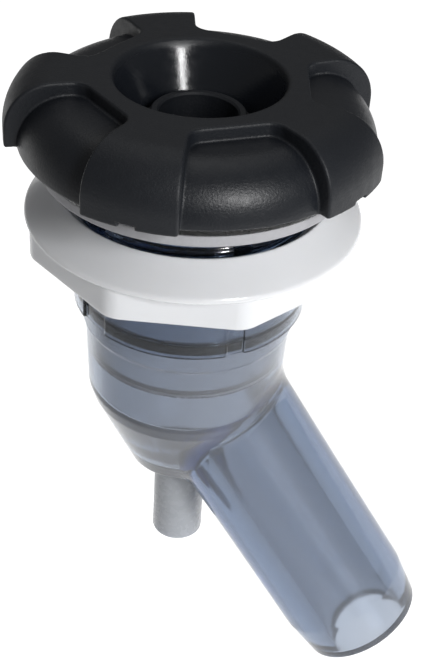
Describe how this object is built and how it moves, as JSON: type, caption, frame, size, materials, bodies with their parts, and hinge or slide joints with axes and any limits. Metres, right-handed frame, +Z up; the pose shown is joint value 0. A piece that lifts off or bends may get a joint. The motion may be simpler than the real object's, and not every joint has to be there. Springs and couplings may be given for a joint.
{
  "type": "deck mount rotary valve",
  "caption": "Deck valve turned by a lobed handle with a funnel bowl: clear threaded barrel with gasket and flanged nut, clear cup, angled spigot and small straight tube.",
  "frame": {"origin": "on the valve's axis, in the plane where the gasket's underside meets the deck", "axes": "+Z up through the handle, +X over the angled spigot"},
  "size_m": [0.105, 0.079, 0.1519],
  "materials": {
    "handle_plastic": "fine textured charcoal moulding",
    "clear_plastic": "clear moulding with a blue-grey cast",
    "nut_plastic": "natural white, slightly see-through",
    "white_plastic": "smooth bearing plastic",
    "pale_gasket": "soft pale grey sheet",
    "black_rubber": "smooth ring rubber",
    "milky_tube": "milky tube",
    "steel": "plain stainless",
    "dark_steel": "blackened spring steel"
  },
  "bodies": {
    "valve_body": {"barrel": "clear_plastic", "barrel_oring": "black_rubber", "deck_gasket": "pale_gasket", "lower_body": "clear_plastic", "drain_tube": "milky_tube", "valve_bonnet": "clear_plastic", "bonnet_oring": "black_rubber", "bonnet_clip": "steel", "stem_oring": "black_rubber", "stop_pins": "steel", "rotor_foot_ring": "white_plastic"},
    "handle": {"valve_handle": "handle_plastic", "stem_clip": "dark_steel", "valve_stem": "handle_plastic", "rotor_screw": "steel", "stem_washer": "white_plastic", "rotor_face_seal": "white_plastic", "valve_rotor": "clear_plastic", "rotor_oring": "black_rubber"},
    "nut": {"retaining_nut": "nut_plastic"}
  },
  "joints": [
    {"name": "handle_turn", "type": "hinge", "parent": "valve_body", "child": "handle", "pos_m": [0, 0, 0], "axis": [0, 0, 1], "range_deg": [-90, 0]},
    {"name": "nut_travel", "type": "slide", "parent": "valve_body", "child": "nut", "axis": [0, 0, 1], "range_m": [-0.0145, 0.0045]}
  ]
}
